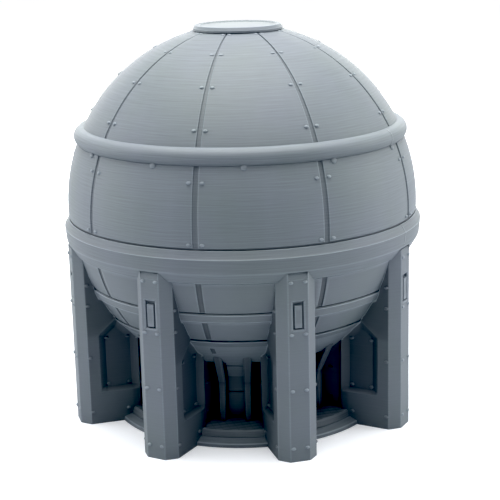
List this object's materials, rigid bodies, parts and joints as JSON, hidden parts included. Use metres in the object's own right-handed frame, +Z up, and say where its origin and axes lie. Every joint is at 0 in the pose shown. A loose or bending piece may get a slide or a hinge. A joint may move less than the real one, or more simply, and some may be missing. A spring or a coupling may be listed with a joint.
{
  "type": "scale model fuel storage tank",
  "caption": "Tabletop scale model of a spherical fuel storage tank with gored plates, belt and collar rings, radial chamfered legs, ribbed piers under the bowl and a stepped round plinth",
  "frame": {"origin": "the centre of the plinth's underside, on the floor, below the tank's axis", "axes": "+Z up along the axis of the tank, -Y towards the front leg, +X to the right"},
  "size_m": [0.1332, 0.1332, 0.1449],
  "materials": {
    "tank_plastic": "printed grey plastic, satin, with fine level print lines",
    "ring_plastic": "printed grey plastic, satin, with fine level print lines",
    "leg_plastic": "printed grey plastic, matt, with faint level print lines",
    "pier_plastic": "printed grey plastic, matt",
    "plinth_plastic": "printed grey plastic, matt, the deck embossed with a fine square grid",
    "cap_plastic": "printed grey plastic, smooth satin"
  },
  "bodies": {
    "root": {"plinth_base": "plinth_plastic", "plinth_deck": "plinth_plastic", "leg_1": "leg_plastic", "leg_2": "leg_plastic", "leg_3": "leg_plastic", "leg_4": "leg_plastic", "leg_5": "leg_plastic", "leg_6": "leg_plastic", "leg_7": "leg_plastic", "leg_8": "leg_plastic", "pier_1": "pier_plastic", "pier_2": "pier_plastic", "pier_3": "pier_plastic", "pier_4": "pier_plastic", "pier_5": "pier_plastic", "pier_6": "pier_plastic", "pier_7": "pier_plastic", "pier_8": "pier_plastic", "core_column": "pier_plastic", "tank_shell": "tank_plastic", "bowl_course_upper": "tank_plastic", "bowl_course_lower": "tank_plastic", "hoop_upper": "ring_plastic", "hoop_lower": "ring_plastic", "collar_ring": "ring_plastic", "belt_ring": "ring_plastic", "side_plate_1": "tank_plastic", "side_plate_2": "tank_plastic", "side_plate_3": "tank_plastic", "side_plate_4": "tank_plastic", "side_plate_5": "tank_plastic", "side_plate_6": "tank_plastic", "side_plate_7": "tank_plastic", "side_plate_8": "tank_plastic", "side_plate_9": "tank_plastic", "dome_plate_1": "tank_plastic", "dome_plate_2": "tank_plastic", "dome_plate_3": "tank_plastic", "dome_plate_4": "tank_plastic", "dome_plate_5": "tank_plastic", "dome_plate_6": "tank_plastic", "dome_plate_7": "tank_plastic", "dome_plate_8": "tank_plastic", "dome_plate_9": "tank_plastic", "top_cap": "cap_plastic"}
  },
  "joints": []
}
